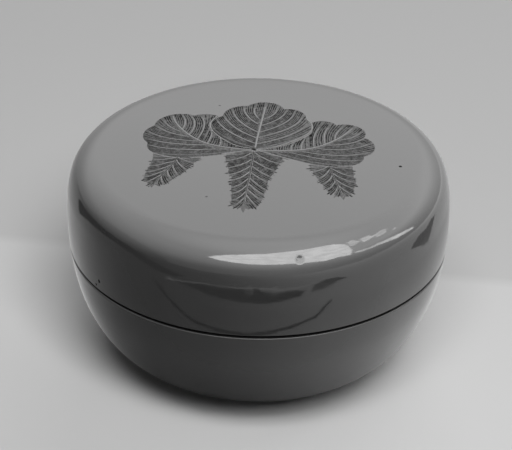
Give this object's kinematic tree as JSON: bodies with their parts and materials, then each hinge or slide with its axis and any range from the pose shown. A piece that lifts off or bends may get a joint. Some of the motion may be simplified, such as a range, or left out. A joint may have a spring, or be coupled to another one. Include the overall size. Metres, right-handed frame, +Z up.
{
  "type": "incense box",
  "caption": "Round turned incense box: a bowl-shaped base with a low foot ring and a standing collar, and a domed lift-off lid inlaid with a leaf and flower-spike crest.",
  "frame": {"origin": "centre of the foot ring's standing plane, on the turning axis; this is also the bottom centre of the box", "axes": "+Z up along the turning axis and out of the mouth; the crest's flower spikes point to -Y, towards the viewer, and its leaves to +Y; +X to the viewer's right"},
  "size_m": [0.076, 0.076, 0.0475],
  "materials": {
    "polished_lacquer": "turned wood under many coats of polished lacquer",
    "collar_lacquer": "thin wood ring under dark polished lacquer",
    "crest_lacquer": "dark hardened lacquer inlay, stippled and rubbed flush"
  },
  "bodies": {
    "base": {"base_shell": "polished_lacquer", "mouth_collar": "collar_lacquer"},
    "lid": {"lid_shell": "polished_lacquer", "leaf_centre": "crest_lacquer", "leaf_left": "crest_lacquer", "leaf_right": "crest_lacquer", "raceme_centre": "crest_lacquer", "raceme_left": "crest_lacquer", "raceme_right": "crest_lacquer"}
  },
  "joints": [
    {"name": "lid_lift", "type": "slide", "parent": "base", "child": "lid", "axis": [0, 0, 1], "range_m": [0, 0.04]}
  ]
}
